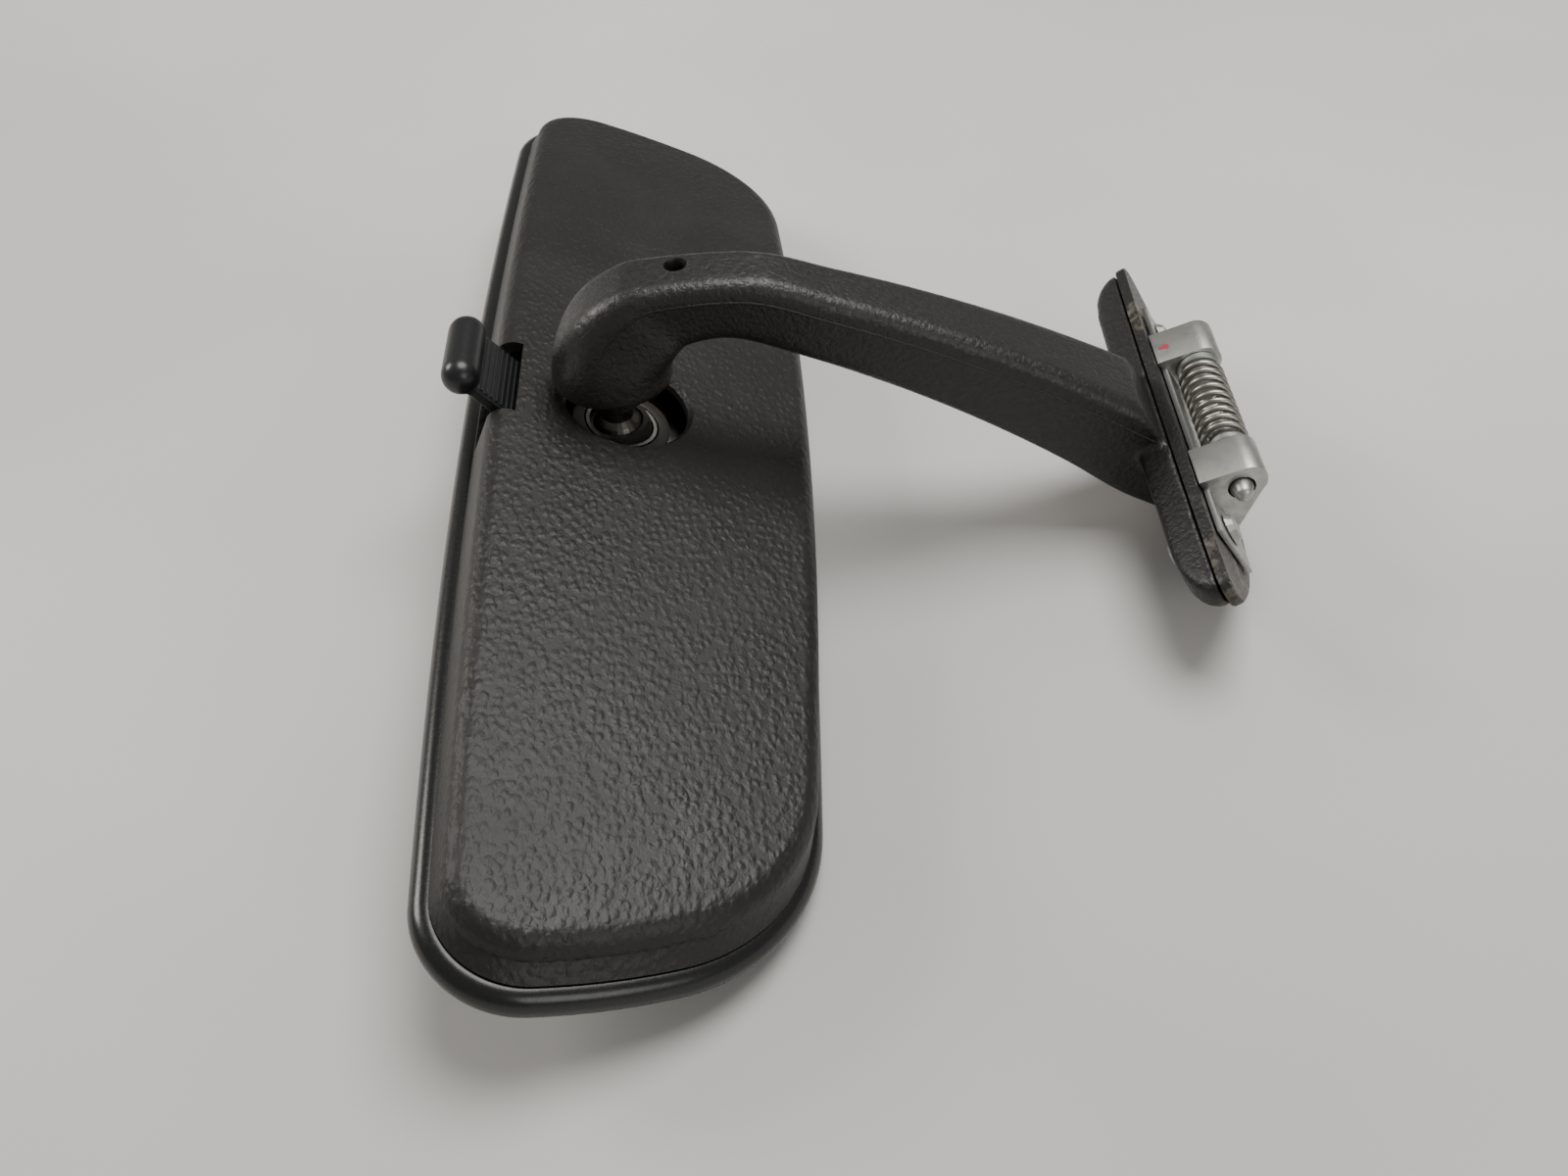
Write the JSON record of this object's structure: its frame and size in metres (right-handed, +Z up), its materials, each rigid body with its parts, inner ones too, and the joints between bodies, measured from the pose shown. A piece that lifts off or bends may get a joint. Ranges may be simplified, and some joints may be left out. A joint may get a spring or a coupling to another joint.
{
  "type": "interior rearview mirror",
  "caption": "Interior rearview mirror with a day/night lever, a ball joint, a cast arm and a half-moon foot with a sprung-pin bracket.",
  "frame": {"origin": "centre of the bounding box's bottom: the surface the mirror lies on", "axes": "+Z up; +Y along the mirror's length; +X from the mirror head toward the foot"},
  "size_m": [0.147, 0.2352, 0.0573],
  "materials": {
    "shell_plastic": "matte",
    "bezel_plastic": "satin",
    "lever_plastic": "satin",
    "mirror_coating": "polished",
    "felt_pad": "matte",
    "black_casting": "satin",
    "zinc_plate": "satin",
    "bare_steel": "satin",
    "spring_steel": "satin",
    "acetal": "satin"
  },
  "bodies": {
    "arm": {"arm_casting": "black_casting", "ball_stud": "zinc_plate", "base_plate": "black_casting", "pin_bracket": "zinc_plate", "bracket_rivet_near": "zinc_plate", "bracket_rivet_far": "zinc_plate", "pin_spring": "spring_steel"},
    "near_pin": {"spring_pin_near": "zinc_plate"},
    "far_pin": {"spring_pin_far": "zinc_plate"},
    "ball_seat": {"inner_seat": "acetal"},
    "ball_ring": {"seat_spring": "spring_steel"},
    "carrier": {"socket_cup": "acetal", "pivot_plate": "bare_steel", "cup_rivet_near": "zinc_plate", "cup_rivet_far": "zinc_plate"},
    "mirror_case": {"rear_housing": "shell_plastic", "rim_bezel": "bezel_plastic", "mirror_glass": "mirror_coating", "glass_pad": "felt_pad", "pivot_rod": "bare_steel", "lever_pin": "bare_steel", "toggle_spring": "spring_steel"},
    "lever": {"day_night_lever": "lever_plastic"}
  },
  "joints": [
    {"name": "ball_pan", "type": "hinge", "parent": "arm", "child": "ball_seat", "pos_m": [-0.0439, 0, 0.02222], "axis": [-0.9542, 0, 0.299], "range_deg": [-14, 14]},
    {"name": "ball_tilt", "type": "hinge", "parent": "ball_seat", "child": "ball_ring", "pos_m": [-0.0439, 0, 0.02222], "axis": [0, -1, 0], "range_deg": [0, 30]},
    {"name": "ball_roll", "type": "hinge", "parent": "ball_ring", "child": "carrier", "pos_m": [-0.0439, 0, 0.02222], "axis": [0.299, 0, 0.9542], "range_deg": [-10, 10]},
    {"name": "case_toggle", "type": "hinge", "parent": "carrier", "child": "mirror_case", "pos_m": [-0.02023, 0, 0.01313], "axis": [0, -1, 0], "range_deg": [0, 4]},
    {"name": "lever_flip", "type": "hinge", "parent": "mirror_case", "child": "lever", "pos_m": [-0.0581, 0, 0.02604], "axis": [0, -1, 0], "range_deg": [0, 28]},
    {"name": "near_pin_slide", "type": "slide", "parent": "arm", "child": "near_pin", "axis": [0, 1, 0], "range_m": [0, 0.003], "stiffness_N_per_m": 2000, "springref_m": -0.005, "deforming": ["pin_spring"]},
    {"name": "far_pin_slide", "type": "slide", "parent": "arm", "child": "far_pin", "axis": [0, -1, 0], "range_m": [0, 0.003], "stiffness_N_per_m": 2000, "springref_m": -0.005, "deforming": ["pin_spring"]}
  ],
  "couplings": [
    {"joint": "lever_flip", "follows": "case_toggle", "ratio": 7}
  ]
}
